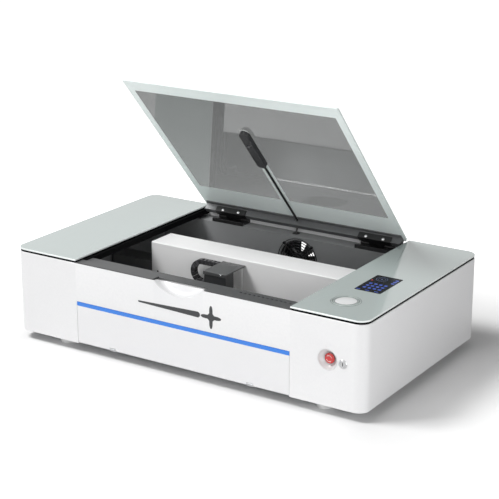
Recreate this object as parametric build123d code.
from build123d import *
import math
import os

# A desktop laser cutter, millimetres. X runs left to right, Y front to back, Z up from the ground.
# The case is centred on Y = 0 while it is worked out; at the end every piece moves by ORIGIN_Y, so
# that the origin lies under the middle of the whole object, exhaust collar included.

# ---- case ----------------------------------------------------------------------------------------
CASE_W = 1050.0
CASE_D = 614.0
CORNER_R = 30.0
FOOT_H = 24.0
FOOT_R = 21.5
FOOT_EDGE_R = 2.0
FOOT_IN_X = 130.0        # foot centre from the case's side
FOOT_IN_Y = 49.5         # foot centre from the case's front or back
CASE_TOP = 244.5         # top edge of the painted case
WALL = 3.0               # case sheet
PAN_T = 2.5
GASKET_H = 5.5
GASKET_IN = 2.0          # gasket's outer face inside the case's outline
GASKET_W = 12.0
GLASS_T = 4.4
GLASS_EDGE = 0.8         # ground bevel on the glass
MID_HALF = 323.0         # half the width of the middle section, between the two side glasses
DECK = CASE_TOP + GASKET_H
GLASS_TOP = DECK + GLASS_T
FRONT = -CASE_D / 2
BACK = CASE_D / 2
RUN_GAP = 0.3            # between a moving piece and what it passes
SEAM = 1.0               # visible seam round the flap

# ---- finger scoop and front rail -----------------------------------------------------------------
SCOOP_R = 108.0
SCOOP_DEPTH = 29.5       # below the painted case's top edge
SCOOP_RUN = 24.0         # how far the scoop goes back from the front wall
RAIL_RUN = 27.0          # front rail's top, front to back
RAIL_IN = 1.5            # its front edge behind the case's face
RAIL_T = 2.5
LEDGE_DROP = 1.0         # slotted ledge below the painted case's top edge
LEDGE_RUN = 34.0
SLOT_COUNT = 12
SLOT_PITCH = 12.7
SLOT_W = 7.0
SLOT_D = 5.0
SLOT_FIRST_X = 156.0

# ---- front flap ----------------------------------------------------------------------------------
FLAP_TOP = 140.6
FLAP_T = 3.0
FLAP_BARREL_R = 3.0
FLAP_AXIS_Z = 30.0
FLAP_PIN_R = 1.2
FLAP_PIN_L = 56.0
FLAP_LUG_X = 210.0
FLAP_LUG_W = 20.0
FLAP_LUG_RUN = 6.0       # lug over the pan behind the flap
FLAP_LAP = 4.0           # flap's set-back band down behind its face
STRIP_H = 11.1
STRIP_T = 1.5
PIN_GAP = 0.05           # radial running clearance

# ---- lid -----------------------------------------------------------------------------------------
LID_OPEN_DEG = 48.0
LID_HALF = 321.5
LID_REAR_Y = 278.0
LID_LEN = 582.5
LID_CORNER_R = 6.0
LID_AXIS_Y = 291.0
LID_AXIS_Z = 231.0
BAR_HALF = 314.0
BAR_D = 17.0
BAR_FRONT_IN = 18.0      # bar's front face forward of the lid's rear edge
BAR_H = 22.0
BAR_WALL = 3.0
BAR_FLANGE = 10.0        # strip that lies on the glass in front of the bar
CABLE_NOTCH_GAP = 1.5    # round the camera cable where it enters the bar

# ---- lid hinges ----------------------------------------------------------------------------------
HINGE_LEFT_X = -226.0
HINGE_RIGHT_X = 237.0
HINGE_W = 100.0
LEAF_T = 2.0
LEAF_FOOT_T = 2.0
LEAF_DOWN = 7.0          # leaf's top edge below the glass
KNUCKLE_R = 5.5
KNUCKLE_MID_W = 46.0
KNUCKLE_GAP = 0.5
HINGE_PIN_R = 3.0
BASE_FOOT_T = 1.2
BASE_NOSE_H = 10.0       # raised front of the base, before the leaf
BASE_NOSE_D = 6.0
BASE_LUG_FRONT = 3.0     # knuckle lugs forward and back of the pin
BASE_LUG_BACK = 5.5

# ---- lid camera ----------------------------------------------------------------------------------
CAM_X = -13.0
CAM_W = 28.0
CAM_H = 13.0
CAM_EDGE_R = 3.0
CAM_NEAR = 275.0         # from the lid's rear edge
CAM_FAR = 426.0
LENS_AT = 374.0
LENS_R = 7.5
LENS_SEAT = 4.0
CABLE_R = 3.2
GROMMET_R = 8.0
STEM_R = 3.0
STEM_END_GAP = 7.0
STEM_FOOT_IN = 6.0       # stem's foot forward of the lid's axis
STEM_TOP_BACK = 3.0      # and its top behind the bar's middle

# ---- chamber -------------------------------------------------------------------------------------
CHAMBER_LEFT = -446.0
CHAMBER_RIGHT = 381.0
CHAMBER_REAR = 250.0     # front face of the inner rear wall
SHEET = 2.0
LEDGE_Z = 224.0
REAR_TOP = 244.0
REAR_CAP_D = 10.0
BEAM_W = 10.0            # deck beam under each side glass
BEAM_LIP = 7.0           # and past its edge
BEAM_BOTTOM = 230.5
BEAM_LIP_TOP = 246.0
BEAM_LIP_R = 6.0

# ---- gantry --------------------------------------------------------------------------------------
GANTRY_LEFT = -299.0
GANTRY_RIGHT = 362.0
GANTRY_Y = -10.0
GANTRY_D = 92.0
GANTRY_BOTTOM = 119.0
GANTRY_TOP = 228.7
COVER_T = 2.0
COVER_R = 3.0
BEAM_T = 4.0
BLOCK_LEFT = -433.0
BLOCK_TOP = 171.0
BLOCK_D = 60.0
BLOCK_EDGE = 2.0
MIRROR_IN = 14.0         # beam window in from the block's front and back
MIRROR_DOWN = 8.0        # and below its top
MIRROR_H = 26.0
MIRROR_D = 40.0

# ---- Y drive -------------------------------------------------------------------------------------
RAIL_W = 12.0
RAIL_H = 8.0
SHELF_T = 3.0
SHELF_TOP = 100.0
SHELF_W = 38.0
LEFT_RAIL_X = -420.0
RIGHT_RAIL_X = 350.0
Y_RAIL_FRONT = -285.0
Y_RAIL_REAR = 248.0
CARRIAGE_W = 27.0
CARRIAGE_L = 40.0
CARRIAGE_GAP = 4.0       # carriage's underside above the shelf
BELT_W = 6.0
BELT_T = 1.5
PULLEY_R = 6.4
PULLEY_W = 9.0
FLANGE_R = 8.9
FLANGE_T = 1.2
LEFT_BELT_X = -396.0
RIGHT_BELT_X = 324.0
Y_SHAFT_Y = 226.0
Y_SHAFT_Z = 70.0
Y_SHAFT_R = 4.0
Y_IDLER_Y = -272.0
MOTOR_W = 42.0
MOTOR_L = 34.0
MOTOR_SHAFT_R = 2.5
MOTOR_EDGE = 3.0
TIE_L = 28.0             # plates from the gantry down to the belts
SHAFT_LEFT_END = 12.0    # shaft past the belt's middle
SHAFT_RIGHT_END = 14.0
BEARING_IN = 16.0        # bearing block inward of the belt
BEARING_W = 10.0
BEARING_R = 11.0
FORK_WALL = 3.0
FORK_L = 16.0
FORK_TOP = 7.0           # above the idlers' axis
FORK_DEEP = 12.0         # and below it

# ---- X drive -------------------------------------------------------------------------------------
X_RAIL_Y = 44.0
X_RAIL_LEFT = -292.0
X_RAIL_RIGHT = 285.0
X_BELT_Y = 12.0
X_IDLER_X = -284.0
X_MOTOR_X = 300.0
X_PULLEY_TOP = 115.0
X_PULLEY_H = 8.0
X_MOTOR_W = 38.0
AXLE_END = 2.0           # axle below its wheel

# ---- laser head ----------------------------------------------------------------------------------
HEAD_LEFT = -64.0
HEAD_W = 71.0
HEAD_FRONT = -105.0
HEAD_TOP = 214.5
HEAD_COVER_T = 3.0
HEAD_LIP_H = 9.0
HEAD_LIP_T = 2.0
RIB_COUNT = 4
RIB_PITCH = 5.0
RIB_W = 1.2
RIB_H = 1.5
RIB_FROM_LEFT = 22.0
RIB_FROM_RIGHT = 14.0
RIB_FROM_BACK = 4.0
HEAD_BODY_BACK = -65.0
HEAD_BODY_BOTTOM = 161.0
HEAD_BODY_IN = 2.0       # in from the cover's sides and front
HEAD_SLOPE_D = 12.0
HEAD_SLOPE_H = 14.0
HEAD_BORE_OVER = 8.0     # bore above the raised tube
HEAD_ARM_T = 4.0
ARM_TOP_T = 5.0
BELT_CLIP_W = 24.0
BELT_CLIP_D = 6.0
ARM_IN = 8.0             # arm in from each side of the cover
CHAIN_SEAT = 10.0        # lug on the arm under the chain's lower end
HEAD_ARM_GAP = 3.0       # arm's upright in front of the gantry cover
ARM_BOTTOM = 99.0
LENS_TUBE_R = 11.0
LENS_TUBE_IN = 26.0      # tube's length inside the head body
LENS_TUBE_END = 112.0
LENS_TUBE_WALL = 3.0
GRIP_STEPS = (6.0, 11.0)
GRIP_W = 3.0
GRIP_H = 1.5
NOZZLE_END = 94.0
NOZZLE_TIP_R = 3.0
NOZZLE_BORE_R = 1.5
LENS_AXIS_Y = -84.0

# ---- cable chain ---------------------------------------------------------------------------------
CHAIN_R = 28.5
CHAIN_T = 12.0
CHAIN_W = 16.0
CHAIN_WALL = 2.0
CHAIN_BAR_T = 2.5
CHAIN_WINDOW = 0.45      # share of a link that its windows take
CHAIN_Y = -29.5
CHAIN_MID_Z = 181.0
CHAIN_BEND_X = -116.0
LINK_GAP = 0.6
BEND_LINKS = 8
RUN_LINKS = 4

# ---- laser tube ----------------------------------------------------------------------------------
TUBE_R = 25.0
TUBE_WALL = 2.0
TUBE_Y = 50.0
TUBE_Z = 192.0
TUBE_LEFT = -280.0
TUBE_RIGHT = 300.0
ELECTRODE_R = 10.0
ELECTRODE_L = 12.0
TUBE_END_WALL = 8.0
CLAMP_IN = 90.0          # clamp in from the tube's end
CLAMP_FOOT_W = 28.0
CLAMP_W = 14.0
CLAMP_T = 4.0

# ---- fan and exhaust -----------------------------------------------------------------------------
FAN_X = 11.0
FAN_Z = 158.0
FAN_SIZE = 120.0
FAN_DEPTH = 25.0
FAN_BORE_R = 57.0
FAN_HUB_R = 20.0
FAN_BLADES = 7
FAN_EDGE_R = 6.0
FAN_SPIDER_T = 4.0
FAN_SPINDLE_IN = 6.0     # spindle's tip behind the frame's front
STRUT_D = 3.0
STRUT_W = 6.0
ROTOR_IN = 2.0           # rotor behind the frame's front
ROTOR_CAP_T = 3.0
BLADE_ROOT = 3.0         # blade into the hub
BLADE_T = 2.0
BLADE_CHORD = 22.0
BLADE_PITCH_DEG = 35.0
FAN_TIP_GAP = 1.5
GUARD_R = 63.0
GUARD_RINGS = 7
GUARD_PITCH = 8.0
WIRE_R = 1.1
GUARD_FOOT_R = 4.0
GUARD_OFF = 3.0          # guard's middle plane in front of the wall
COLLAR_R = 50.0
COLLAR_WALL = 2.5
COLLAR_FLANGE_R = 62.0
COLLAR_FLANGE_T = 3.0
COLLAR_LEN = 32.0        # free length behind the flange

# ---- bed and tray --------------------------------------------------------------------------------
BED_HALF = 270.0
BED_FRONT = -240.0
BED_REAR = 96.0
BED_TOP = 84.0
BED_T = 12.0
BED_FRAME_W = 14.0
BED_FRAME_H = 18.0
BED_POST_R = 8.0
TRAY_H = 16.0
TRAY_T = 1.5
TRAY_IN = 24.0

# ---- controls ------------------------------------------------------------------------------------
SCREEN_X = 424.2
SCREEN_Y = -55.2
SCREEN_W = 72.5
SCREEN_L = 122.5
SCREEN_PROUD = 0.4
SCREEN_BODY_H = 12.0
SCREEN_BORDER = 4.0
SCREEN_CORNER_R = 4.0
START_X = 415.5
START_Y = -203.5
START_R = 37.0
START_DOME_R = 27.0
START_TRAVEL = 2.5
START_PROUD = 2.0
START_CUP_H = 16.0
START_WALL = 2.0
FIT_GAP = 0.2
STOP_X = 426.0
STOP_Z = 142.5
BOWL_R = 27.0
BOWL_DEPTH = 17.0
BOWL_T = 2.0
STOP_R = 13.0
STOP_SUNK = 8.0
STOP_HEAD_T = 4.5
STOP_TRAVEL = 4.0
STOP_STEM_R = 6.0
STOP_BLOCK = 30.0
KEY_X = 467.8
KEY_Z = 140.0
KEY_R = 11.0
KEY_BARREL_R = 7.0
KEY_PROUD = 2.0
KEY_LEN = 28.0
KEY_SLOT_W = 2.0

# ---- electrics and cooling -----------------------------------------------------------------------
SUPPLY_X0 = 398.0
SUPPLY_X1 = 508.0
SUPPLY_Y0 = -70.0
SUPPLY_Y1 = 150.0
SUPPLY_H = 90.0
BOARD_Y0 = -240.0
BOARD_Y1 = -100.0
BOARD_Z = 60.0
BOARD_T = 1.6
INLET_X = 450.0
INLET_Z = 74.0
INLET_W = 30.0
INLET_H = 50.0
INLET_DEPTH = 30.0
SOCKET_W = 22.0
SOCKET_H = 15.0
SOCKET_DEPTH = 18.0
ROCKER_W = 18.0
ROCKER_H = 13.0
ROCKER_T = 5.0
ROCKER_DEG = 8.0
PORTS_X = 365.0
PORTS_W = 40.0
PORTS_H = 24.0
PORT_W = 12.5
PORT_H = 11.0
PORT_DEPTH = 12.0
TANK_X0 = -515.0
TANK_X1 = -456.0
TANK_Y0 = -60.0
TANK_Y1 = 150.0
TANK_H = 120.0
PUMP_L = 60.0
PUMP_R = 20.0
RADIATOR_L = 130.0
RADIATOR_H = 130.0
RADIATOR_T = 30.0
HOSE_R = 5.0
HOSE_L = 10.0

# ---- worked out once, used by several pieces -----------------------------------------------------
CASE_BOTTOM = FOOT_H
FLOOR_TOP = CASE_BOTTOM + PAN_T
LID_FRONT_Y = LID_REAR_Y - LID_LEN
BAR_FRONT_Y = LID_REAR_Y - BAR_FRONT_IN
BAR_BOTTOM = DECK - BAR_H
GANTRY_BACK = GANTRY_Y + GANTRY_D
HEAD_MID_X = HEAD_LEFT + HEAD_W / 2
ARM_Y = GANTRY_Y - HEAD_ARM_GAP - HEAD_ARM_T
FLAP_AXIS_Y = FRONT + FLAP_BARREL_R
CARRIAGE_BOTTOM = SHELF_TOP + CARRIAGE_GAP
FAN_FRONT = CHAMBER_REAR + SHEET
ORIGIN_Y = (KEY_PROUD - COLLAR_LEN - COLLAR_FLANGE_T) / 2

parts = {}


# ---- shapes used by many pieces ------------------------------------------------------------------
def block(x0, x1, y0, y1, z0, z1):
    """Box between pairs of limits."""
    centre = Pos((x0 + x1) / 2, (y0 + y1) / 2, (z0 + z1) / 2)
    return centre * Box(x1 - x0, y1 - y0, z1 - z0)


def rod_x(x0, x1, y, z, r):
    """Round bar along X."""
    return Pos((x0 + x1) / 2, y, z) * Rot(0, 90, 0) * Cylinder(r, x1 - x0)


def rod_y(x, y0, y1, z, r):
    """Round bar along Y."""
    return Pos(x, (y0 + y1) / 2, z) * Rot(90, 0, 0) * Cylinder(r, y1 - y0)


def rod_z(x, y, z0, z1, r):
    """Upright round bar."""
    return Pos(x, y, (z0 + z1) / 2) * Cylinder(r, z1 - z0)


def prism_x(outline, x0, x1):
    """A closed outline of (y, z) points, drawn out along X."""
    return Pos(x0, 0, 0) * extrude(Plane.YZ * Polygon(*outline, align=None), amount=x1 - x0)


def turned_y(profile, x, z):
    """A closed profile of (radius, y) points, turned about an axis along Y."""
    face = make_face(Plane.XY * Polyline(*profile, close=True))
    return Pos(x, 0, z) * revolve(face, axis=Axis.Y)


def turned_z(profile, x, y):
    """A closed profile of (radius, z) points, turned about an upright axis."""
    face = make_face(Plane.XZ * Polyline(*profile, close=True))
    return Pos(x, y, 0) * revolve(face, axis=Axis.Z)


def solids_of(*shapes):
    """Separate solids kept side by side in one node."""
    return Compound(children=[solid for shape in shapes for solid in shape.solids()])


def case_prism(inset, z0, z1):
    """The case's rounded plan outline, moved in by an inset, drawn upwards."""
    outline = RectangleRounded(CASE_W - 2 * inset, CASE_D - 2 * inset, CORNER_R - inset)
    return Pos(0, 0, z0) * extrude(outline, amount=z1 - z0)


def side_half(side, half_x):
    """Everything beyond half_x on one side of the case, side being -1 or 1."""
    near, far = sorted((side * half_x, side * CASE_W))
    return block(near, far, -CASE_D, CASE_D, 0, 2 * GLASS_TOP)


def belt_loop(length, r):
    """A flat belt round two equal wheels, lying in the XY plane and running along X."""
    outer = SlotCenterToCenter(length, 2 * (r + BELT_T))
    inner = SlotCenterToCenter(length, 2 * r)
    return extrude(outer - inner, amount=BELT_W / 2, both=True)


# ---- case ----------------------------------------------------------------------------------------
def side_covers():
    """Two wrap-round covers, front seam to rear seam, with the controls' holes in the right one."""
    ring = case_prism(0, CASE_BOTTOM, CASE_TOP) - case_prism(WALL, 0, GLASS_TOP)
    left = ring & side_half(-1, MID_HALF)
    right = ring & side_half(1, MID_HALF)
    right -= rod_y(STOP_X, FRONT - 1, FRONT + WALL + 1, STOP_Z, BOWL_R)
    right -= rod_y(KEY_X, FRONT - 1, FRONT + WALL + 1, KEY_Z, KEY_BARREL_R + FIT_GAP + 1)
    right -= block(INLET_X - INLET_W / 2, INLET_X + INLET_W / 2, BACK - WALL - 1, BACK + 1,
                   INLET_Z - INLET_H / 2, INLET_Z + INLET_H / 2)
    right -= block(PORTS_X - PORTS_W / 2, PORTS_X + PORTS_W / 2, BACK - WALL - 1, BACK + 1,
                   INLET_Z - PORTS_H / 2, INLET_Z + PORTS_H / 2)
    return solids_of(left, right)


def scoop_half_width():
    """Half the scoop's width at the case's top edge."""
    return math.sqrt(SCOOP_R ** 2 - (SCOOP_R - SCOOP_DEPTH) ** 2)


def scoop_hollow():
    """The finger scoop's hollow: level at the front edge, curving up to the rail at the back."""
    y0 = FRONT - 1
    y1 = FRONT + WALL
    y2 = y1 + SCOOP_RUN
    r_back = SCOOP_R - SCOOP_DEPTH
    curve = ThreePointArc((SCOOP_R, y1), (r_back + SCOOP_DEPTH * 0.7, y1 + SCOOP_RUN * 0.7), (r_back, y2))
    outline = [Line((0, y0), (SCOOP_R, y0)), Line((SCOOP_R, y0), (SCOOP_R, y1)), curve,
               Line((r_back, y2), (0, y2)), Line((0, y2), (0, y0))]
    return Pos(0, 0, CASE_TOP - SCOOP_DEPTH + SCOOP_R) * revolve(make_face(outline), axis=Axis.Y)


def front_panel():
    """Front wall above the flap, with the finger scoop moulded behind its top edge."""
    wall = block(-MID_HALF, MID_HALF, FRONT, FRONT + WALL, FLAP_TOP + SEAM, CASE_TOP)
    wall += block(-MID_HALF, MID_HALF, FRONT + WALL, FRONT + 4 * WALL, FLAP_TOP + SEAM,
                  FLAP_TOP + SEAM + WALL)
    half = scoop_half_width() + WALL
    wall += block(-half, half, FRONT + WALL, FRONT + WALL + SCOOP_RUN, CASE_TOP - SCOOP_DEPTH - WALL,
                  CASE_TOP)
    return wall - scoop_hollow()


def front_rail():
    """Rail along the chamber's front: a top strip each side of the scoop, and a lower slotted ledge."""
    half = scoop_half_width() + WALL
    back = FRONT + RAIL_IN + RAIL_RUN
    step = CASE_TOP - LEDGE_DROP
    inner = MID_HALF - BEAM_LIP - FIT_GAP
    rail = block(-MID_HALF, MID_HALF, FRONT + WALL, back, step - RAIL_T, step)
    rail += block(-inner, inner, back, back + LEDGE_RUN, step - RAIL_T, step)
    rail -= block(-half - FIT_GAP, half + FIT_GAP, FRONT, FRONT + WALL + SCOOP_RUN + FIT_GAP, 0, GLASS_TOP)
    for x0, x1 in ((-MID_HALF, -half - FIT_GAP), (half + FIT_GAP, MID_HALF)):
        rail += block(x0, x1, FRONT + RAIL_IN, back, CASE_TOP, CASE_TOP + RAIL_T)
        rail += block(x0, x1, back - RAIL_T, back, step - RAIL_T, CASE_TOP)
    for i in range(SLOT_COUNT):
        x = SLOT_FIRST_X + i * SLOT_PITCH
        y = back + LEDGE_RUN / 2
        rail -= block(x - SLOT_W / 2, x + SLOT_W / 2, y - SLOT_D / 2, y + SLOT_D / 2, 0, GLASS_TOP)
    return rail


def rear_panel():
    """Rear wall of the middle section, with its thick top and the exhaust hole."""
    wall = block(-MID_HALF, MID_HALF, BACK - WALL, BACK, CASE_BOTTOM, REAR_TOP)
    wall += block(-MID_HALF, MID_HALF, BACK - REAR_CAP_D, BACK, LEDGE_Z, REAR_TOP)
    wall -= rod_y(FAN_X, BACK - WALL - 1, BACK + 1, FAN_Z, COLLAR_R - COLLAR_WALL)
    return wall


def bottom_pan():
    """Floor sheet inside the covers, cut back behind the flap, with lugs and pins for the flap."""
    pan = case_prism(WALL, CASE_BOTTOM, FLOOR_TOP)
    gap_back = FLAP_AXIS_Y + FLAP_BARREL_R + RUN_GAP
    pan -= block(-MID_HALF, MID_HALF, FRONT - 1, gap_back, 0, 2 * FLOOR_TOP)
    for x in (-FLAP_LUG_X, FLAP_LUG_X):
        x0 = x - FLAP_LUG_W / 2
        x1 = x + FLAP_LUG_W / 2
        pan += block(x0, x1, FLAP_AXIS_Y, gap_back + FLAP_LUG_RUN, CASE_BOTTOM, FLAP_AXIS_Z)
        pan += rod_x(x0, x1, FLAP_AXIS_Y, FLAP_AXIS_Z, FLAP_BARREL_R)
        pan += rod_x(x - FLAP_PIN_L / 2, x + FLAP_PIN_L / 2, FLAP_AXIS_Y, FLAP_AXIS_Z, FLAP_PIN_R)
    return pan


def flap_pieces():
    """Drop-down front flap with its rolled barrel, and the light strip let into its top edge."""
    half = MID_HALF - SEAM
    low = FLAP_TOP - STRIP_H
    flap = block(-half, half, FRONT, FRONT + FLAP_T, FLAP_AXIS_Z, low)
    flap += rod_x(-half, half, FLAP_AXIS_Y, FLAP_AXIS_Z, FLAP_BARREL_R)
    flap += block(-half, half, FRONT + STRIP_T, FRONT + STRIP_T + FLAP_T, low - FLAP_LAP, FLAP_TOP)
    strip = block(-half, half, FRONT + FIT_GAP, FRONT + STRIP_T, low, FLAP_TOP)
    reach = FLAP_BARREL_R + 1
    for x in (-FLAP_LUG_X, FLAP_LUG_X):
        x0 = x - FLAP_LUG_W / 2 - RUN_GAP
        x1 = x + FLAP_LUG_W / 2 + RUN_GAP
        flap -= block(x0, x1, FRONT - 1, FLAP_AXIS_Y + reach, FLAP_AXIS_Z - reach, FLAP_AXIS_Z + reach)
        flap -= rod_x(x - FLAP_PIN_L / 2 - 1, x + FLAP_PIN_L / 2 + 1, FLAP_AXIS_Y, FLAP_AXIS_Z,
                      FLAP_PIN_R + PIN_GAP)
    return flap, strip


def feet():
    """Four round feet."""
    x = CASE_W / 2 - FOOT_IN_X
    y = CASE_D / 2 - FOOT_IN_Y
    pads = [rod_z(sx * x, sy * y, 0, FOOT_H, FOOT_R) for sx in (-1, 1) for sy in (-1, 1)]
    return solids_of(*[fillet(pad.edges().group_by(Axis.Z)[0], FOOT_EDGE_R) for pad in pads])


def side_glass():
    """The two side panes with their ground edges; the right one has the controls' cut-outs."""
    panes = []
    for side in (-1, 1):
        pane = case_prism(0, DECK, GLASS_TOP) & side_half(side, MID_HALF)
        panes.append(chamfer(pane.edges().group_by(Axis.Z)[-1], GLASS_EDGE))
    half_w = SCREEN_W / 2 + FIT_GAP
    half_l = SCREEN_L / 2 + FIT_GAP
    holes = block(SCREEN_X - half_w, SCREEN_X + half_w, SCREEN_Y - half_l, SCREEN_Y + half_l, 0, 2 * DECK)
    holes += rod_z(START_X, START_Y, 0, 2 * DECK, START_R + FIT_GAP)
    return solids_of(panes[0], panes[1] - holes)


def top_frame(side):
    """Black frame under one side pane: a gasket set in from the outline, and an inner beam with a lip."""
    ring = case_prism(GASKET_IN, CASE_TOP, DECK) - case_prism(GASKET_IN + GASKET_W, 0, 2 * DECK)
    frame = ring & side_half(side, MID_HALF + FIT_GAP)
    y0 = FRONT + RAIL_IN + RAIL_RUN + FIT_GAP
    x0, x1 = sorted((side * (MID_HALF - BEAM_LIP), side * (MID_HALF + FIT_GAP)))
    lip = block(x0, x1, y0, BACK - REAR_CAP_D, BEAM_BOTTOM, BEAM_LIP_TOP)
    frame += fillet(lip.edges().filter_by(Axis.X).group_by(Axis.Y)[-1], BEAM_LIP_R)
    x0, x1 = sorted((side * (MID_HALF + FIT_GAP), side * (MID_HALF + BEAM_W)))
    inside = GASKET_IN + GASKET_W
    return frame + block(x0, x1, FRONT + inside, BACK - inside, BEAM_BOTTOM, DECK)


# ---- chamber -------------------------------------------------------------------------------------
def side_wall(x, inward):
    """A chamber side wall with the shelf that carries a Y rail; inward is 1 or -1."""
    y0 = FRONT + WALL + FIT_GAP
    wall = block(x - SHEET / 2, x + SHEET / 2, y0, CHAMBER_REAR, FLOOR_TOP, CASE_TOP)
    x0, x1 = sorted((x, x + inward * SHELF_W))
    wall += block(x0, x1, Y_RAIL_FRONT, CHAMBER_REAR, SHELF_TOP - SHELF_T, SHELF_TOP)
    x0, x1 = sorted((x, x + inward * 3 * SHEET))
    return wall + block(x0, x1, y0, CHAMBER_REAR, CASE_TOP - SHEET, CASE_TOP)


def rear_wall():
    """Inner rear wall with the fan's hole, and the ledge over it that carries the lid hinges."""
    wall = block(CHAMBER_LEFT - SHEET / 2, CHAMBER_RIGHT + SHEET / 2, CHAMBER_REAR, CHAMBER_REAR + SHEET,
                 FLOOR_TOP, LEDGE_Z)
    wall -= rod_y(FAN_X, CHAMBER_REAR - 1, FAN_FRONT + 1, FAN_Z, FAN_BORE_R)
    ledge = block(-MID_HALF + FIT_GAP, MID_HALF - FIT_GAP, CHAMBER_REAR, BACK - REAR_CAP_D,
                  LEDGE_Z - SHEET, LEDGE_Z)
    return wall + ledge


def table_pieces():
    """Honeycomb table, the frame on posts that carries it, and the crumb tray under it."""
    table = block(-BED_HALF, BED_HALF, BED_FRONT, BED_REAR, BED_TOP - BED_T, BED_TOP)
    low = BED_TOP - BED_FRAME_H
    frame = block(-BED_HALF - BED_FRAME_W, BED_HALF + BED_FRAME_W, BED_FRONT - BED_FRAME_W,
                  BED_REAR + BED_FRAME_W, low, BED_TOP)
    frame -= block(-BED_HALF - FIT_GAP, BED_HALF + FIT_GAP, BED_FRONT - FIT_GAP, BED_REAR + FIT_GAP,
                   BED_TOP - BED_T, BED_TOP + 1)
    seat = BED_FRAME_W / 2
    frame -= block(-BED_HALF + seat, BED_HALF - seat, BED_FRONT + seat, BED_REAR - seat, 0, BED_TOP)
    for x in (-BED_HALF - seat, BED_HALF + seat):
        for y in (BED_FRONT, BED_REAR):
            frame += rod_z(x, y, FLOOR_TOP, low, BED_POST_R)
    x = BED_HALF - TRAY_IN
    y0 = BED_FRONT + TRAY_IN
    y1 = BED_REAR - TRAY_IN
    tray = block(-x, x, y0, y1, FLOOR_TOP, FLOOR_TOP + TRAY_H)
    tray -= block(-x + TRAY_T, x - TRAY_T, y0 + TRAY_T, y1 - TRAY_T, FLOOR_TOP + TRAY_T, BED_TOP)
    return table, frame, tray


# ---- lid, drawn shut and then swung open ---------------------------------------------------------
def opened(shape):
    """Turn a shape drawn with the lid shut to the lid's rest position."""
    axis = Pos(0, LID_AXIS_Y, LID_AXIS_Z)
    return axis * Rot(-LID_OPEN_DEG, 0, 0) * axis.inverse() * shape


def lid_pane():
    """Lid pane with rounded corners and a ground edge."""
    mid_y = (LID_REAR_Y + LID_FRONT_Y) / 2
    outline = Pos(0, mid_y, DECK) * RectangleRounded(2 * LID_HALF, LID_LEN, LID_CORNER_R)
    pane = extrude(outline, amount=GLASS_T)
    return chamfer(pane.edges().group_by(Axis.Z)[-1], GLASS_EDGE)


def lid_bar():
    """Channel across the lid's rear edge with a flange on the glass, notched for the camera cable."""
    y1 = BAR_FRONT_Y + BAR_D
    bar = block(-BAR_HALF, BAR_HALF, BAR_FRONT_Y, y1, BAR_BOTTOM, DECK)
    bar -= block(-BAR_HALF + BAR_WALL, BAR_HALF - BAR_WALL, BAR_FRONT_Y + BAR_WALL, y1 - BAR_WALL,
                 BAR_BOTTOM + BAR_WALL, GLASS_TOP)
    flange_y = BAR_FRONT_Y - BAR_FLANGE
    bar += block(-BAR_HALF, BAR_HALF, flange_y, BAR_FRONT_Y, DECK - BAR_WALL, DECK)
    notch = CABLE_R + CABLE_NOTCH_GAP
    return bar - block(CAM_X - notch, CAM_X + notch, flange_y - 1, BAR_FRONT_Y + BAR_WALL + 1,
                       DECK - 2 * notch, GLASS_TOP)


def hinge_pieces():
    """Leaves that ride with the lid, and the fixed bases on the ledge with the pins between them."""
    leaves = []
    bases = []
    half = HINGE_W / 2
    mid = KNUCKLE_MID_W / 2
    y0 = BAR_FRONT_Y - LEAF_T
    low = BAR_BOTTOM - LEAF_FOOT_T
    nose_back = y0 - 2 * RUN_GAP
    lug_back = LID_AXIS_Y + BASE_LUG_BACK
    for x in (HINGE_LEFT_X, HINGE_RIGHT_X):
        leaf = block(x - half, x + half, y0, BAR_FRONT_Y, low, DECK - LEAF_DOWN)
        leaf += block(x - half, x + half, y0, BAR_FRONT_Y + BAR_D, low, BAR_BOTTOM)
        leaf += block(x - mid, x + mid, BAR_FRONT_Y, LID_AXIS_Y, low, BAR_BOTTOM)
        leaf += rod_x(x - mid, x + mid, LID_AXIS_Y, LID_AXIS_Z, KNUCKLE_R)
        leaves.append(leaf - rod_x(x - half, x + half, LID_AXIS_Y, LID_AXIS_Z, HINGE_PIN_R + PIN_GAP))
        base = rod_x(x - half, x + half, LID_AXIS_Y, LID_AXIS_Z, HINGE_PIN_R)
        base += block(x - half, x + half, nose_back - BASE_NOSE_D, lug_back, LEDGE_Z, LEDGE_Z + BASE_FOOT_T)
        base += block(x - half, x + half, nose_back - BASE_NOSE_D, nose_back, LEDGE_Z,
                      LEDGE_Z + BASE_NOSE_H)
        for x0, x1 in ((x - half, x - mid - KNUCKLE_GAP), (x + mid + KNUCKLE_GAP, x + half)):
            base += rod_x(x0, x1, LID_AXIS_Y, LID_AXIS_Z, KNUCKLE_R)
            base += block(x0, x1, LID_AXIS_Y - BASE_LUG_FRONT, lug_back, LEDGE_Z, LID_AXIS_Z)
        bases.append(base)
    return opened(solids_of(*leaves)), solids_of(*bases)


def camera_pieces():
    """Camera housing on the lid's inner face, its lens, and the cable along the lid to the bar."""
    y0 = LID_REAR_Y - CAM_FAR
    y1 = LID_REAR_Y - CAM_NEAR
    low = DECK - CAM_H
    outline = Pos(CAM_X, (y0 + y1) / 2, low) * RectangleRounded(CAM_W, y1 - y0, CAM_W / 2 - 1)
    housing = extrude(outline, amount=CAM_H)
    housing = fillet(housing.edges().group_by(Axis.Z)[0], CAM_EDGE_R)
    lens_y = LID_REAR_Y - LENS_AT
    housing -= rod_z(CAM_X, lens_y, low - 1, low + LENS_SEAT, LENS_R)
    lens = rod_z(CAM_X, lens_y, low + LENS_SEAT / 4, low + LENS_SEAT, LENS_R)
    cable = rod_y(CAM_X, y1, BAR_FRONT_Y + BAR_WALL, DECK - CABLE_R, CABLE_R)
    return opened(housing), opened(lens), opened(cable)


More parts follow.
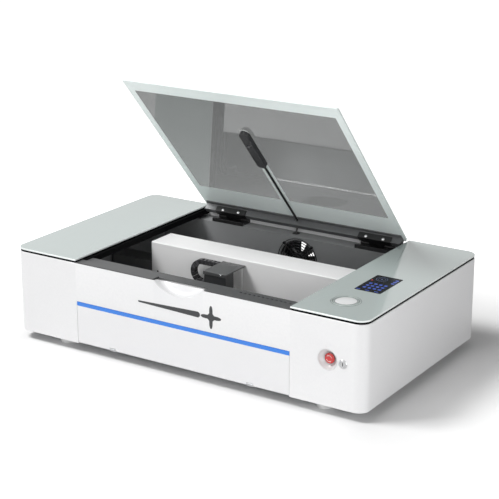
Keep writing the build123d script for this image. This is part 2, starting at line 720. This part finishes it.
def cable_stem():
    """Short stretch of the camera cable, from the ledge up to the underside of the open lid's bar."""
    foot = Vector(CAM_X, LID_AXIS_Y - STEM_FOOT_IN, LEDGE_Z)
    bar_y = BAR_FRONT_Y + BAR_D / 2 + STEM_TOP_BACK
    top = opened(Pos(CAM_X, bar_y, BAR_BOTTOM) * Box(1, 1, 1)).center()
    run = top - foot
    lean = Plane(origin=foot, z_dir=run) * Circle(STEM_R)
    stem = extrude(lean, amount=run.length - STEM_END_GAP, both=True)
    return stem & block(CAM_X - GROMMET_R, CAM_X + GROMMET_R, 0, BACK, LEDGE_Z, GLASS_TOP)


# ---- gantry --------------------------------------------------------------------------------------
def gantry_cover():
    """Folded sheet cover with its two closed ends."""
    low = GANTRY_BOTTOM + BEAM_T
    cover = block(GANTRY_LEFT, GANTRY_RIGHT, GANTRY_Y, GANTRY_BACK, low, GANTRY_TOP)
    cover = fillet(cover.edges().filter_by(Axis.X).group_by(Axis.Z)[-1], COVER_R)
    return cover - block(GANTRY_LEFT + COVER_T, GANTRY_RIGHT - COVER_T, GANTRY_Y + COVER_T,
                         GANTRY_BACK - COVER_T, 0, GANTRY_TOP - COVER_T)


def gantry_beam():
    """Beam that closes the cover underneath, with the tube's clamps and the idler's axle on it."""
    top = GANTRY_BOTTOM + BEAM_T
    beam = block(GANTRY_LEFT, GANTRY_RIGHT, GANTRY_Y, GANTRY_BACK, GANTRY_BOTTOM, top)
    beam -= rod_z(X_MOTOR_X, X_BELT_Y, 0, GANTRY_TOP, MOTOR_SHAFT_R + 1)
    foot = CLAMP_FOOT_W / 2
    for x in (TUBE_LEFT + CLAMP_IN, TUBE_RIGHT - CLAMP_IN):
        x0 = x - CLAMP_W / 2
        x1 = x + CLAMP_W / 2
        beam += rod_x(x0, x1, TUBE_Y, TUBE_Z, TUBE_R + CLAMP_T)
        beam += block(x0, x1, TUBE_Y - foot, TUBE_Y + foot, top, TUBE_Z)
        beam -= rod_x(x0 - 1, x1 + 1, TUBE_Y, TUBE_Z, TUBE_R)
    low = X_PULLEY_TOP - X_PULLEY_H - AXLE_END
    return beam + rod_z(X_IDLER_X, X_BELT_Y, low, GANTRY_BOTTOM, MOTOR_SHAFT_R)


def mirror_block():
    """Block at the gantry's left end that holds the folding mirrors and rides on the left rail."""
    body = block(BLOCK_LEFT, GANTRY_LEFT, GANTRY_Y, GANTRY_Y + BLOCK_D, GANTRY_BOTTOM, BLOCK_TOP)
    body = chamfer(body.edges().filter_by(Axis.Y).group_by(Axis.X)[0], BLOCK_EDGE)
    top = BLOCK_TOP - MIRROR_DOWN
    return body - block(GANTRY_LEFT - MIRROR_D, GANTRY_LEFT + 1, GANTRY_Y + MIRROR_IN,
                        GANTRY_Y + BLOCK_D - MIRROR_IN, top - MIRROR_H, top)


def y_carriages():
    """Ball carriages on the two Y rails, and the plates that tie the gantry down to the belts."""
    pieces = []
    groove = RAIL_W / 2 + RUN_GAP
    top = SHELF_TOP + RAIL_H + RUN_GAP
    for x, y in ((LEFT_RAIL_X, GANTRY_Y + BLOCK_D / 2), (RIGHT_RAIL_X, (GANTRY_Y + GANTRY_BACK) / 2)):
        ride = block(x - CARRIAGE_W / 2, x + CARRIAGE_W / 2, y - CARRIAGE_L / 2, y + CARRIAGE_L / 2,
                     CARRIAGE_BOTTOM, GANTRY_BOTTOM)
        pieces.append(ride - block(x - groove, x + groove, y - CARRIAGE_L, y + CARRIAGE_L, 0, top))
    low = Y_SHAFT_Z + PULLEY_R + RUN_GAP + BELT_T + RUN_GAP
    y = GANTRY_Y + BLOCK_D / 2
    for x in (LEFT_BELT_X, RIGHT_BELT_X):
        pieces.append(block(x - BELT_W / 2, x + BELT_W / 2, y - TIE_L / 2, y + TIE_L / 2, low,
                            GANTRY_BOTTOM))
    return solids_of(*pieces)


def y_rails():
    """The two ground rails on their shelves."""
    return solids_of(*[block(x - RAIL_W / 2, x + RAIL_W / 2, Y_RAIL_FRONT + 2, Y_RAIL_REAR, SHELF_TOP,
                             SHELF_TOP + RAIL_H) for x in (LEFT_RAIL_X, RIGHT_RAIL_X)])


def y_belts():
    """A belt along each side, round the shaft's pulley and the front idler."""
    length = Y_SHAFT_Y - Y_IDLER_Y
    loop = Rot(0, 0, 90) * belt_loop(length, PULLEY_R + RUN_GAP)
    upright = Rot(0, 90, 0) * loop
    return solids_of(*[Pos(x, (Y_SHAFT_Y + Y_IDLER_Y) / 2, Y_SHAFT_Z) * upright
                       for x in (LEFT_BELT_X, RIGHT_BELT_X)])


def y_shaft():
    """Cross shaft with its two toothed pulleys."""
    shaft = rod_x(LEFT_BELT_X - SHAFT_LEFT_END, RIGHT_BELT_X + SHAFT_RIGHT_END, Y_SHAFT_Y, Y_SHAFT_Z,
                  Y_SHAFT_R)
    for x in (LEFT_BELT_X, RIGHT_BELT_X):
        shaft += wheel_x(x, Y_SHAFT_Y)
    return shaft


def wheel_x(x, y):
    """Flanged belt wheel turning about X, level with the cross shaft."""
    half = PULLEY_W / 2
    wheel = rod_x(x - half, x + half, y, Y_SHAFT_Z, PULLEY_R)
    wheel += rod_x(x - half - FLANGE_T, x - half, y, Y_SHAFT_Z, FLANGE_R)
    return wheel + rod_x(x + half, x + half + FLANGE_T, y, Y_SHAFT_Z, FLANGE_R)


def y_motor():
    """Stepper motor in line with the shaft's right end."""
    half = MOTOR_W / 2
    x0 = RIGHT_BELT_X + SHAFT_RIGHT_END + SHEET
    motor = block(x0, x0 + MOTOR_L, Y_SHAFT_Y - half, Y_SHAFT_Y + half, Y_SHAFT_Z - half, Y_SHAFT_Z + half)
    return chamfer(motor.edges().filter_by(Axis.X), MOTOR_EDGE)


def y_idlers():
    """Front idler wheels of both belts."""
    bore = MOTOR_SHAFT_R + PIN_GAP
    return solids_of(*[wheel_x(x, Y_IDLER_Y) - rod_x(x - 20, x + 20, Y_IDLER_Y, Y_SHAFT_Z, bore)
                       for x in (LEFT_BELT_X, RIGHT_BELT_X)])


def drive_brackets():
    """Stands on the floor: two bearing blocks, the motor's plate, and a fork with an axle per idler."""
    stands = []
    half = BEARING_W / 2
    for x in (LEFT_BELT_X + BEARING_IN, RIGHT_BELT_X - BEARING_IN):
        stand = block(x - half, x + half, Y_SHAFT_Y - BEARING_R, Y_SHAFT_Y + BEARING_R, FLOOR_TOP,
                      Y_SHAFT_Z + BEARING_R)
        stands.append(stand - rod_x(x - half - 1, x + half + 1, Y_SHAFT_Y, Y_SHAFT_Z, Y_SHAFT_R + PIN_GAP))
    half = MOTOR_W / 2
    x0 = RIGHT_BELT_X + SHAFT_RIGHT_END
    stands.append(block(x0 + RUN_GAP, x0 + SHEET, Y_SHAFT_Y - half, Y_SHAFT_Y + half, FLOOR_TOP,
                        Y_SHAFT_Z + half))
    gap = PULLEY_W / 2 + FLANGE_T + RUN_GAP
    out = gap + FORK_WALL
    y0 = Y_IDLER_Y - FORK_L / 2
    y1 = Y_IDLER_Y + FORK_L / 2
    top = Y_SHAFT_Z + FORK_TOP
    for x in (LEFT_BELT_X, RIGHT_BELT_X):
        stand = block(x - out, x + out, y0, y1, FLOOR_TOP, top)
        stand -= block(x - gap, x + gap, y0 - 1, y1 + 1, Y_SHAFT_Z - FORK_DEEP, top + 1)
        stands.append(stand + rod_x(x - out, x + out, Y_IDLER_Y, Y_SHAFT_Z, MOTOR_SHAFT_R))
    return solids_of(*stands)


def x_rail_and_belt():
    """Rail hung under the beam for the head's carriage, and the head's belt beside it."""
    rail = block(X_RAIL_LEFT, X_RAIL_RIGHT, X_RAIL_Y - RAIL_W / 2, X_RAIL_Y + RAIL_W / 2,
                 GANTRY_BOTTOM - RAIL_H, GANTRY_BOTTOM)
    length = X_MOTOR_X - X_IDLER_X
    belt = Pos((X_MOTOR_X + X_IDLER_X) / 2, X_BELT_Y, X_PULLEY_TOP - X_PULLEY_H / 2)
    return rail, belt * belt_loop(length, PULLEY_R + RUN_GAP)


def x_wheel(x):
    """Flanged wheel of the head's belt, on an upright axle."""
    low = X_PULLEY_TOP - X_PULLEY_H
    wheel = rod_z(x, X_BELT_Y, low, X_PULLEY_TOP, PULLEY_R)
    wheel += rod_z(x, X_BELT_Y, low - FLANGE_T, low, FLANGE_R)
    wheel += rod_z(x, X_BELT_Y, X_PULLEY_TOP, X_PULLEY_TOP + FLANGE_T, FLANGE_R)
    return wheel - rod_z(x, X_BELT_Y, 0, GANTRY_BOTTOM, MOTOR_SHAFT_R + PIN_GAP)


def x_motor():
    """Stepper motor inside the cover, with its shaft down through the beam."""
    half = X_MOTOR_W / 2
    floor = GANTRY_BOTTOM + BEAM_T
    low = X_PULLEY_TOP - X_PULLEY_H - AXLE_END
    motor = block(X_MOTOR_X - half, X_MOTOR_X + half, X_BELT_Y - half, X_BELT_Y + half, floor,
                  floor + MOTOR_L)
    return motor + rod_z(X_MOTOR_X, X_BELT_Y, low, floor, MOTOR_SHAFT_R)


def laser_tube():
    """Sealed glass laser tube with a stepped cap at each end."""
    tube = rod_x(TUBE_LEFT, TUBE_RIGHT, TUBE_Y, TUBE_Z, TUBE_R)
    tube -= rod_x(TUBE_LEFT + TUBE_END_WALL, TUBE_RIGHT - TUBE_END_WALL, TUBE_Y, TUBE_Z,
                  TUBE_R - TUBE_WALL)
    tube += rod_x(TUBE_LEFT - ELECTRODE_L, TUBE_LEFT, TUBE_Y, TUBE_Z, ELECTRODE_R)
    return tube + rod_x(TUBE_RIGHT, TUBE_RIGHT + ELECTRODE_L, TUBE_Y, TUBE_Z, ELECTRODE_R)


# ---- laser head ----------------------------------------------------------------------------------
def head_cover():
    """Top plate of the head with its front lip and the raised ribs at its rear."""
    x1 = HEAD_LEFT + HEAD_W
    back = GANTRY_Y - RUN_GAP
    under = HEAD_TOP - HEAD_COVER_T
    plate = block(HEAD_LEFT, x1, HEAD_FRONT, back, under, HEAD_TOP)
    plate += block(HEAD_LEFT, x1, HEAD_FRONT, HEAD_FRONT + HEAD_LIP_T, HEAD_TOP - HEAD_LIP_H, HEAD_TOP)
    for i in range(RIB_COUNT):
        y = back - RIB_FROM_BACK - RIB_PITCH * i
        plate += block(HEAD_LEFT + RIB_FROM_LEFT, x1 - RIB_FROM_RIGHT, y - RIB_W, y, HEAD_TOP,
                       HEAD_TOP + RIB_H)
    return plate


def head_body():
    """Head body under the cover's front, its underside sloping up to the front face."""
    x0 = HEAD_LEFT + HEAD_BODY_IN
    x1 = HEAD_LEFT + HEAD_W - HEAD_BODY_IN
    top = HEAD_TOP - HEAD_COVER_T
    front = HEAD_FRONT + HEAD_LIP_T
    outline = [(front, top), (front, HEAD_BODY_BOTTOM + HEAD_SLOPE_H),
               (front + HEAD_SLOPE_D, HEAD_BODY_BOTTOM),
               (HEAD_BODY_BACK, HEAD_BODY_BOTTOM), (HEAD_BODY_BACK, top)]
    body = prism_x(outline, x0, x1)
    bore_top = HEAD_BODY_BOTTOM + LENS_TUBE_IN + HEAD_BORE_OVER
    return body - rod_z(HEAD_MID_X, LENS_AXIS_Y, 0, bore_top, LENS_TUBE_R + PIN_GAP)


def head_arm():
    """Arm from the head body down past the gantry's front, and the ball carriage on its back end."""
    x0 = HEAD_LEFT + ARM_IN
    x1 = HEAD_LEFT + HEAD_W - ARM_IN
    top = HEAD_TOP - HEAD_COVER_T
    y1 = ARM_Y + HEAD_ARM_T
    arm_top = ARM_BOTTOM + HEAD_ARM_T
    arm = block(x0, x1, HEAD_BODY_BACK, y1, top - ARM_TOP_T, top)
    arm += block(x0, x1, ARM_Y, y1, ARM_BOTTOM, top)
    arm += block(x0, x1, ARM_Y, X_RAIL_Y + CARRIAGE_W / 2, ARM_BOTTOM, arm_top)
    seat = CHAIN_MID_Z - CHAIN_R - CHAIN_T / 2
    arm += block(x0, x0 + CHAIN_SEAT, CHAIN_Y - CHAIN_W / 2, ARM_Y, seat - SHEET, seat)
    run_y = X_BELT_Y - PULLEY_R - RUN_GAP - BELT_T / 2
    low = X_PULLEY_TOP - X_PULLEY_H / 2 - BELT_W / 2 - RUN_GAP
    clip = BELT_CLIP_W / 2
    arm += block(HEAD_MID_X - clip, HEAD_MID_X + clip, run_y - BELT_CLIP_D / 2, run_y + BELT_CLIP_D / 2,
                 ARM_BOTTOM, low)
    ride = block(HEAD_MID_X - CARRIAGE_L / 2, HEAD_MID_X + CARRIAGE_L / 2, X_RAIL_Y - CARRIAGE_W / 2,
                 X_RAIL_Y + CARRIAGE_W / 2, arm_top, GANTRY_BOTTOM - SHEET)
    groove = RAIL_W / 2 + RUN_GAP
    ride -= block(x0, x1, X_RAIL_Y - groove, X_RAIL_Y + groove, GANTRY_BOTTOM - RAIL_H - RUN_GAP,
                  GANTRY_TOP)
    return solids_of(arm, ride)


def lens_tube():
    """Lens tube that slides in the head for focus, with two grip rings and its nozzle cone."""
    top = HEAD_BODY_BOTTOM + LENS_TUBE_IN
    length = LENS_TUBE_END - NOZZLE_END
    tube = rod_z(HEAD_MID_X, LENS_AXIS_Y, LENS_TUBE_END, top, LENS_TUBE_R)
    for step in GRIP_STEPS:
        low = LENS_TUBE_END + step
        tube += rod_z(HEAD_MID_X, LENS_AXIS_Y, low, low + GRIP_W, LENS_TUBE_R + GRIP_H)
    tube += Pos(HEAD_MID_X, LENS_AXIS_Y, NOZZLE_END + length / 2) * Cone(NOZZLE_TIP_R, LENS_TUBE_R, length)
    tube -= rod_z(HEAD_MID_X, LENS_AXIS_Y, LENS_TUBE_END, top + 1, LENS_TUBE_R - LENS_TUBE_WALL)
    return tube - rod_z(HEAD_MID_X, LENS_AXIS_Y, 0, top, NOZZLE_BORE_R)


def chain_link(length):
    """One link of the cable chain: two side plates joined by two bars."""
    inside = CHAIN_W - 2 * CHAIN_WALL
    link = Box(length, CHAIN_W, CHAIN_T) - Box(length + 1, inside, CHAIN_T - 2 * CHAIN_BAR_T)
    return link - Box(length * CHAIN_WINDOW, inside, CHAIN_T + 1)


def cable_chain():
    """Chain of links from the head's rear left corner, round a half turn and back under it."""
    links = []
    upper = HEAD_LEFT - RUN_GAP - CHAIN_BEND_X
    lower = HEAD_LEFT + ARM_IN + CHAIN_SEAT - CHAIN_BEND_X
    for run, rise in ((upper, CHAIN_R), (lower, -CHAIN_R)):
        pitch = run / RUN_LINKS
        straight = chain_link(pitch - LINK_GAP)
        for i in range(RUN_LINKS):
            links.append(Pos(CHAIN_BEND_X + (i + 0.5) * pitch, CHAIN_Y, CHAIN_MID_Z + rise) * straight)
    step = 180.0 / BEND_LINKS
    inner = 2 * (CHAIN_R - CHAIN_T / 2) * math.tan(math.radians(step / 2))
    curved = chain_link(inner - LINK_GAP)
    for i in range(BEND_LINKS):
        turn = 90 + step * (i + 0.5)
        out = Pos(CHAIN_BEND_X, CHAIN_Y, CHAIN_MID_Z) * Rot(0, -turn, 0) * Pos(CHAIN_R, 0, 0)
        links.append(out * Rot(0, 90, 0) * curved)
    return solids_of(*links)


# ---- fan and exhaust -----------------------------------------------------------------------------
def fan_pieces():
    """Axial fan behind the inner rear wall: square frame with struts and spindle, and the rotor."""
    half = FAN_SIZE / 2
    y1 = FAN_FRONT + FAN_DEPTH
    frame = block(FAN_X - half, FAN_X + half, FAN_FRONT, y1, FAN_Z - half, FAN_Z + half)
    frame = fillet(frame.edges().filter_by(Axis.Y), FAN_EDGE_R)
    frame -= rod_y(FAN_X, FAN_FRONT - 1, y1 + 1, FAN_Z, FAN_BORE_R)
    spider = rod_y(FAN_X, y1 - FAN_SPIDER_T, y1, FAN_Z, FAN_HUB_R)
    strut = Box(2 * FAN_BORE_R + 2, STRUT_D, STRUT_W)
    for turn in (45, 135):
        spider += Pos(FAN_X, y1 - STRUT_D / 2, FAN_Z) * Rot(0, turn, 0) * strut
    spider += rod_y(FAN_X, FAN_FRONT + FAN_SPINDLE_IN, y1, FAN_Z, MOTOR_SHAFT_R)
    y0 = FAN_FRONT + ROTOR_IN
    rotor_back = y1 - FAN_SPIDER_T - 1
    rotor = rod_y(FAN_X, y0, rotor_back, FAN_Z, FAN_HUB_R)
    root = FAN_HUB_R - BLADE_ROOT
    span = FAN_BORE_R - FAN_TIP_GAP - root
    blade = Pos(root + span / 2, 0, 0) * Rot(BLADE_PITCH_DEG, 0, 0) * Box(span, BLADE_T, BLADE_CHORD)
    hub = Pos(FAN_X, (y0 + rotor_back) / 2, FAN_Z)
    for i in range(FAN_BLADES):
        rotor += hub * Rot(0, 360 / FAN_BLADES * i, 0) * blade
    rotor &= rod_y(FAN_X, y0 - 1, rotor_back, FAN_Z, FAN_BORE_R - FAN_TIP_GAP)
    rotor -= rod_y(FAN_X, y0 + ROTOR_CAP_T, y1, FAN_Z, MOTOR_SHAFT_R + PIN_GAP)
    return frame + spider, rotor


def fan_guard():
    """Wire guard of concentric rings on four spokes, with a foot at each spoke's end."""
    y = CHAMBER_REAR - GUARD_OFF
    guard = None
    for i in range(GUARD_RINGS):
        ring = Pos(FAN_X, y, FAN_Z) * Rot(90, 0, 0) * Torus(GUARD_R - WIRE_R - i * GUARD_PITCH, WIRE_R)
        guard = ring if guard is None else guard + ring
    for turn in (45, 135):
        spoke = Rot(0, turn, 0) * Rot(0, 90, 0) * Cylinder(WIRE_R, 2 * GUARD_R)
        guard += Pos(FAN_X, y, FAN_Z) * spoke
    for turn in (45, 135, 225, 315):
        x = FAN_X + (GUARD_R - 1) * math.cos(math.radians(turn))
        z = FAN_Z + (GUARD_R - 1) * math.sin(math.radians(turn))
        guard += rod_y(x, y - WIRE_R, CHAMBER_REAR, z, GUARD_FOOT_R)
    return guard


def exhaust_collar():
    """Round duct collar on the rear panel, with its flange."""
    step = BACK + COLLAR_FLANGE_T
    end = step + COLLAR_LEN
    bore = COLLAR_R - COLLAR_WALL
    profile = [(bore, BACK), (COLLAR_FLANGE_R, BACK), (COLLAR_FLANGE_R, step), (COLLAR_R, step),
               (COLLAR_R, end), (bore, end)]
    return turned_y(profile, FAN_X, FAN_Z)


# ---- controls ------------------------------------------------------------------------------------
def touch_screen():
    """Touch screen module: its glass set through the right pane, and the housing hung beneath it."""
    half_w = SCREEN_W / 2
    half_l = SCREEN_L / 2
    pane = block(SCREEN_X - half_w, SCREEN_X + half_w, SCREEN_Y - half_l, SCREEN_Y + half_l, DECK,
                 GLASS_TOP + SCREEN_PROUD)
    pane = fillet(pane.edges().filter_by(Axis.Z), SCREEN_CORNER_R)
    rim = SCREEN_BORDER
    return pane + block(SCREEN_X - half_w - rim, SCREEN_X + half_w + rim, SCREEN_Y - half_l - rim,
                        SCREEN_Y + half_l + rim, DECK - SCREEN_BODY_H, DECK)


def start_button_pieces():
    """Round start button: a fixed ring with a closed cup, and the dome that presses into it."""
    low = GLASS_TOP - START_CUP_H
    inner = START_DOME_R + RUN_GAP
    ring = turned_z([(0, low), (START_DOME_R + 6, low), (START_DOME_R + 6, DECK - 2), (START_R, DECK - 2),
                     (START_R, GLASS_TOP + 0.4), (START_R - 2, GLASS_TOP + 1.2), (inner + 1, GLASS_TOP + 1.2),
                     (inner, GLASS_TOP + 0.6), (inner, low + START_WALL), (0, low + START_WALL)],
                    START_X, START_Y)
    bottom = low + START_WALL + START_TRAVEL + RUN_GAP
    rim = GLASS_TOP - 0.5
    crown_r = (START_DOME_R ** 2 + START_PROUD ** 2) / (2 * START_PROUD)
    crown = Pos(START_X, START_Y, rim + START_PROUD - crown_r) * Sphere(crown_r)
    dome = rod_z(START_X, START_Y, bottom, rim + 2 * START_PROUD, START_DOME_R) & crown
    return ring, dome


def stop_pieces():
    """Stop button sunk in its bowl, with the switch block fixed behind the bowl."""
    y = FRONT
    deep = y + BOWL_DEPTH
    back = deep + BOWL_T
    bowl = turned_y([(0, deep), (BOWL_R - 7, deep), (BOWL_R - 3, y + 4), (BOWL_R - 2, y), (BOWL_R, y),
                     (BOWL_R, y + WALL), (BOWL_R + 3, y + WALL), (BOWL_R + 3, y + WALL + 1.5),
                     (BOWL_R, y + WALL + 1.5), (BOWL_R - 4, back), (0, back)], STOP_X, STOP_Z)
    half = STOP_BLOCK / 2
    bowl += block(STOP_X - half, STOP_X + half, back, back + 40, STOP_Z - half, STOP_Z + half)
    bowl -= rod_y(STOP_X, y, back + 8 + 2 * STOP_TRAVEL, STOP_Z, STOP_STEM_R + PIN_GAP)
    face = y + STOP_SUNK
    button = rod_y(STOP_X, face, face + STOP_HEAD_T, STOP_Z, STOP_R)
    button = fillet(button.edges().group_by(Axis.Y)[0], 1.5)
    return bowl, button + rod_y(STOP_X, face + STOP_HEAD_T, back + 8, STOP_Z, STOP_STEM_R)


def key_pieces():
    """Key switch: a fixed bezel through the case, and the barrel that turns in it."""
    y0 = FRONT - KEY_PROUD
    barrel_r = KEY_BARREL_R
    bezel = rod_y(KEY_X, y0, FRONT, KEY_Z, KEY_R)
    bezel = chamfer(bezel.edges().group_by(Axis.Y)[0], 1)
    bezel += rod_y(KEY_X, FRONT, FRONT + KEY_LEN, KEY_Z, barrel_r + 1 + FIT_GAP)
    bezel += rod_y(KEY_X, FRONT + WALL, FRONT + WALL + 4, KEY_Z, KEY_R)
    bezel -= rod_y(KEY_X, y0 - 1, FRONT + KEY_LEN + 1, KEY_Z, barrel_r + PIN_GAP)
    barrel = rod_y(KEY_X, y0, FRONT + KEY_LEN, KEY_Z, barrel_r)
    slot = block(KEY_X - KEY_SLOT_W / 2, KEY_X + KEY_SLOT_W / 2, y0 - 1, y0 + 6, KEY_Z - 4.5, KEY_Z + 4.5)
    return bezel, barrel - slot


# ---- electrics and cooling -----------------------------------------------------------------------
def inlet_pieces():
    """Mains inlet with its blades, and the rocker switch above it."""
    x0, x1 = INLET_X - INLET_W / 2, INLET_X + INLET_W / 2
    z0, z1 = INLET_Z - INLET_H / 2, INLET_Z + INLET_H / 2
    body = block(x0 - 3, x1 + 3, BACK, BACK + 1.5, z0 - 3, z1 + 3)
    body += block(x0 + FIT_GAP, x1 - FIT_GAP, BACK - INLET_DEPTH, BACK, z0 + FIT_GAP, z1 - FIT_GAP)
    socket_z = INLET_Z - 11
    body -= block(INLET_X - SOCKET_W / 2, INLET_X + SOCKET_W / 2, BACK - SOCKET_DEPTH, BACK + 2,
                  socket_z - SOCKET_H / 2, socket_z + SOCKET_H / 2)
    for dx in (-6, 0, 6):
        body += block(INLET_X + dx - 1, INLET_X + dx + 1, BACK - SOCKET_DEPTH, BACK - 4, socket_z - 5,
                      socket_z - 1)
    rocker_z = INLET_Z + 12
    body -= block(INLET_X - ROCKER_W / 2 - RUN_GAP, INLET_X + ROCKER_W / 2 + RUN_GAP, BACK - 9, BACK + 2,
                  rocker_z - ROCKER_H / 2 - 1.5, rocker_z + ROCKER_H / 2 + 1.5)
    pin = rod_x(INLET_X - ROCKER_W / 2 - 2, INLET_X + ROCKER_W / 2 + 2, BACK - 3, rocker_z, 1)
    rocker = block(INLET_X - ROCKER_W / 2, INLET_X + ROCKER_W / 2, BACK - 1 - ROCKER_T, BACK + 1,
                   rocker_z - ROCKER_H / 2, rocker_z + ROCKER_H / 2)
    rocker -= rod_x(INLET_X - ROCKER_W, INLET_X + ROCKER_W, BACK - 3, rocker_z, 1 + PIN_GAP)
    return body + pin, rocker


def ports_plate():
    """Plate with two data ports."""
    x0, x1 = PORTS_X - PORTS_W / 2, PORTS_X + PORTS_W / 2
    z0, z1 = INLET_Z - PORTS_H / 2, INLET_Z + PORTS_H / 2
    plate = block(x0 - 3, x1 + 3, BACK, BACK + 1.5, z0 - 3, z1 + 3)
    plate += block(x0 + FIT_GAP, x1 - FIT_GAP, BACK - PORT_DEPTH - 3, BACK, z0 + FIT_GAP, z1 - FIT_GAP)
    for dx in (-9, 9):
        x = PORTS_X + dx
        plate -= block(x - PORT_W / 2, x + PORT_W / 2, BACK - PORT_DEPTH, BACK + 2, INLET_Z - PORT_H / 2,
                       INLET_Z + PORT_H / 2)
    return plate


def electrics():
    """Laser power supply, and the control board on its stand-offs."""
    top = FLOOR_TOP + SUPPLY_H
    supply = block(SUPPLY_X0, SUPPLY_X1, SUPPLY_Y0, SUPPLY_Y1, FLOOR_TOP, top)
    supply = fillet(supply.edges().filter_by(Axis.Z), 2)
    for i in range(6):
        y = SUPPLY_Y0 + 30 + 12 * i
        supply -= block(SUPPLY_X0 + 20, SUPPLY_X1 - 20, y, y + 5, top - 4, top + 1)
    board = block(SUPPLY_X0, SUPPLY_X1, BOARD_Y0, BOARD_Y1, BOARD_Z, BOARD_Z + BOARD_T)
    mid_x = (SUPPLY_X0 + SUPPLY_X1) / 2
    mid_y = (BOARD_Y0 + BOARD_Y1) / 2
    top = BOARD_Z + BOARD_T
    chips = ((-30, -40, 30, 30, 12), (25, -45, 24, 18, 16), (20, 20, 40, 22, 10), (-30, 30, 18, 40, 14))
    for x, y, w, d, h in chips:
        board += Pos(mid_x + x, mid_y + y, top + h / 2) * Box(w, d, h)
    for x in (SUPPLY_X0 + 5, SUPPLY_X1 - 5):
        for y in (BOARD_Y0 + 5, BOARD_Y1 - 5):
            board += rod_z(x, y, FLOOR_TOP, BOARD_Z, 3)
    return supply, board


def cooling():
    """Coolant tank with its filler and side-mounted pump, and the finned radiator beside it."""
    top = FLOOR_TOP + TANK_H
    tank = block(TANK_X0, TANK_X1, TANK_Y0, TANK_Y1, FLOOR_TOP, top)
    tank = fillet(tank.edges().filter_by(Axis.Z), 8)
    mid_x = (TANK_X0 + TANK_X1) / 2
    tank += rod_z(mid_x, TANK_Y1 - 30, top, top + 12, 16)
    z = FLOOR_TOP + PUMP_R + 5
    pump_end = TANK_Y0 - PUMP_L
    tank += rod_y(mid_x, pump_end, TANK_Y0, z, PUMP_R)
    tank += block(mid_x - 18, mid_x + 18, pump_end + 8, TANK_Y0 - 8, FLOOR_TOP, z)
    back = pump_end - HOSE_L
    tank += rod_y(mid_x, back, pump_end, z, HOSE_R)
    radiator = block(mid_x - RADIATOR_T / 2, mid_x + RADIATOR_T / 2, back - RADIATOR_L, back, FLOOR_TOP,
                     FLOOR_TOP + RADIATOR_H)
    for i in range(9):
        low = FLOOR_TOP + 14 + 12 * i
        for side in (-1, 1):
            x0, x1 = sorted((mid_x + side * (RADIATOR_T / 2 - 8), mid_x + side * (RADIATOR_T / 2 + 1)))
            radiator -= block(x0, x1, back - RADIATOR_L + 8, back - 8, low, low + 6)
    return tank, radiator


# ---- everything, by node name --------------------------------------------------------------------
parts["side_covers"] = side_covers()
parts["front_panel"] = front_panel()
parts["front_rail"] = front_rail()
parts["rear_panel"] = rear_panel()
parts["bottom_pan"] = bottom_pan()
parts["front_flap"], parts["flap_light_strip"] = flap_pieces()
parts["feet"] = feet()
parts["side_glass_tops"] = side_glass()
parts["top_frames"] = solids_of(top_frame(-1), top_frame(1))
parts["chamber_walls"] = solids_of(side_wall(CHAMBER_LEFT, 1), side_wall(CHAMBER_RIGHT, -1), rear_wall())
parts["honeycomb_table"], parts["table_frame"], parts["crumb_tray"] = table_pieces()
parts["lid_glass"] = opened(lid_pane())
parts["lid_hinge_bar"] = opened(lid_bar())
parts["lid_hinge_leaves"], parts["lid_hinge_bases"] = hinge_pieces()
parts["camera_housing"], parts["camera_lens"], parts["camera_cable"] = camera_pieces()
parts["camera_cable_stem"] = cable_stem()
parts["gantry_cover"] = gantry_cover()
parts["gantry_beam"] = gantry_beam()
parts["mirror_block"] = mirror_block()
parts["y_carriages"] = y_carriages()
parts["y_rails"] = y_rails()
parts["y_belts"] = y_belts()
parts["y_drive_shaft"] = y_shaft()
parts["y_idlers"] = y_idlers()
parts["y_motor"] = y_motor()
parts["drive_brackets"] = drive_brackets()
parts["x_rail"], parts["x_belt"] = x_rail_and_belt()
parts["x_idler"] = x_wheel(X_IDLER_X)
parts["x_pulley"] = x_wheel(X_MOTOR_X)
parts["x_motor"] = x_motor()
parts["laser_tube"] = laser_tube()
parts["head_cover"] = head_cover()
parts["head_body"] = head_body()
parts["head_arm"] = head_arm()
parts["lens_tube"] = lens_tube()
parts["cable_chain"] = cable_chain()
parts["fan_frame"], parts["fan_rotor"] = fan_pieces()
parts["fan_guard"] = fan_guard()
parts["exhaust_collar"] = exhaust_collar()
parts["touch_screen"] = touch_screen()
parts["start_button_ring"], parts["start_button"] = start_button_pieces()
parts["stop_bowl"], parts["stop_button"] = stop_pieces()
parts["key_bezel"], parts["key_barrel"] = key_pieces()
inlet, parts["power_rocker"] = inlet_pieces()
parts["rear_sockets"] = solids_of(inlet, ports_plate())
parts["power_supply"], parts["control_board"] = electrics()
parts["coolant_tank"], parts["radiator"] = cooling()

os.makedirs("parts", exist_ok=True)
for name, shape in parts.items():
    export_step(Pos(0, ORIGIN_Y, 0) * shape, f"parts/{name}.step")
